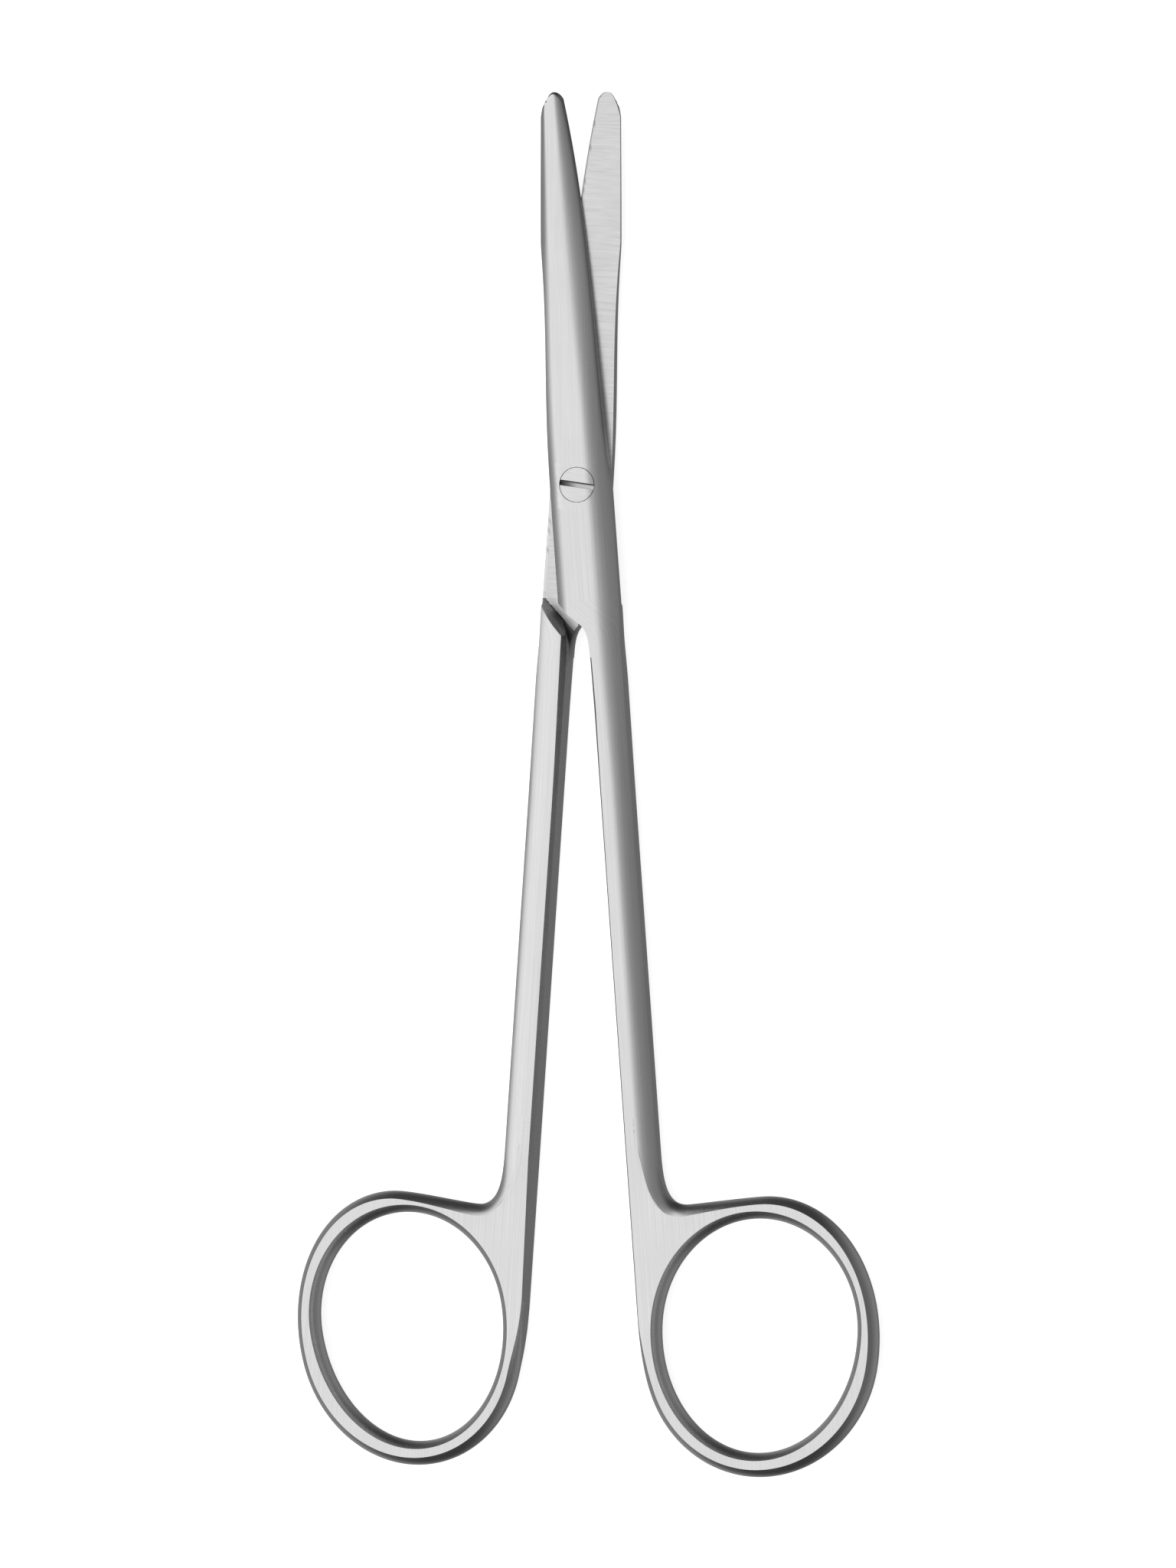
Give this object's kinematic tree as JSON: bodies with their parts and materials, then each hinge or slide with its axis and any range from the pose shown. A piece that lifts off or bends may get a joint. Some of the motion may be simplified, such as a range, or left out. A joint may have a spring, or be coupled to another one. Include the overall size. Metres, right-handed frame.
{
  "type": "dissecting scissors",
  "caption": "Straight blunt-ended dissecting scissors: two lapped forged halves with oval finger rings on a slotted pivot screw.",
  "frame": {"origin": "on the pivot axis, at the flat land of the back half on which the scissors lie", "axes": "+Y along the scissors to the blade tips, +Z along the pivot axis to the screw head, +X towards the ring of the front half"},
  "size_m": [0.0623, 0.144, 0.0044],
  "materials": {
    "forged_steel": "satin, brushed lengthwise",
    "screw_steel": "satin, ground flush"
  },
  "bodies": {
    "lower_half": {"back_half": "forged_steel", "pivot_screw": "screw_steel"},
    "upper_half": {"front_half": "forged_steel"}
  },
  "joints": [
    {"name": "scissor_pivot", "type": "hinge", "parent": "lower_half", "child": "upper_half", "pos_m": [0, 0, 0.00213], "axis": [0, 0, 1], "range_deg": [-8, 70]}
  ]
}
